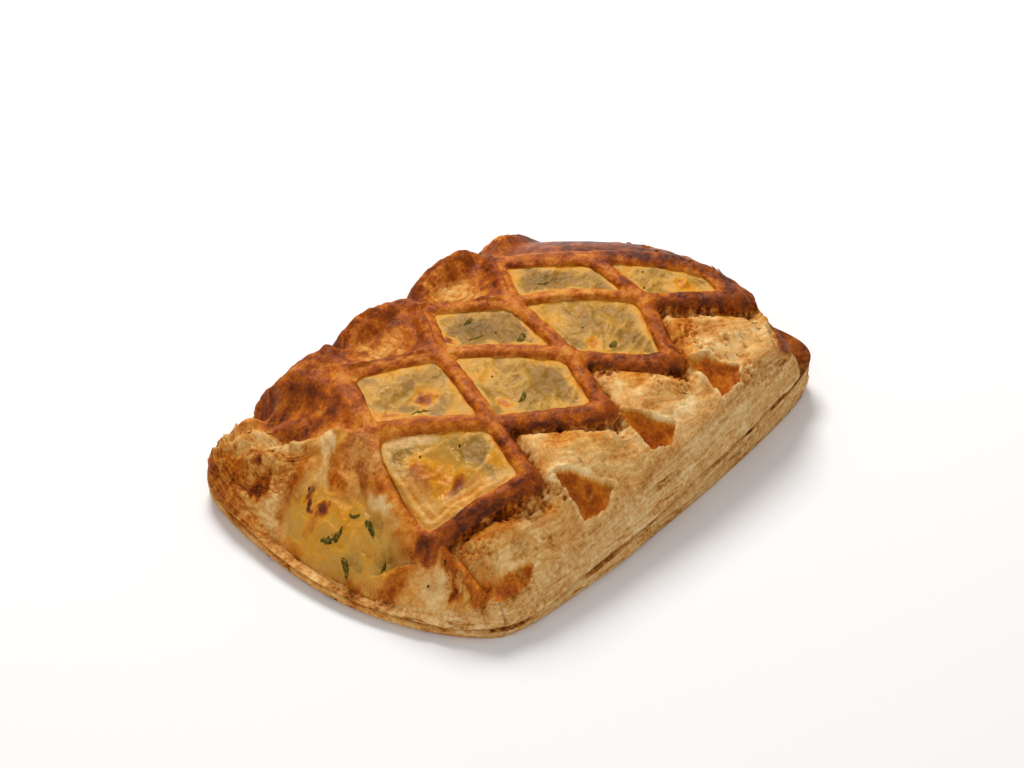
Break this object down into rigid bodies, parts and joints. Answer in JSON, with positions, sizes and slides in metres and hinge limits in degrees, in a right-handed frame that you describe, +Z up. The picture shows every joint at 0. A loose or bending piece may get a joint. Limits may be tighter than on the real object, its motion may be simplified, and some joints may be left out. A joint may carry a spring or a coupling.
{
  "type": "savory strudel",
  "caption": "Baked puff pastry strudel with a lattice-cut top sheet whose diamond windows show a herb filling.",
  "frame": {"origin": "on the flat underside, below the middle of the outer box", "axes": "+X along the strudel to its tall end, so the low rounded front end is at -X; +Y away from the near long side with the open cuts; +Z up"},
  "size_m": [0.151, 0.1062, 0.0355],
  "materials": {
    "base": "baked flaky dough",
    "filling": "moist baked cheese and herbs",
    "crust": "egg-glazed baked pastry"
  },
  "bodies": {
    "root": {"base_sheet": "base", "filling": "filling", "lattice_sheet": "crust"}
  },
  "joints": []
}
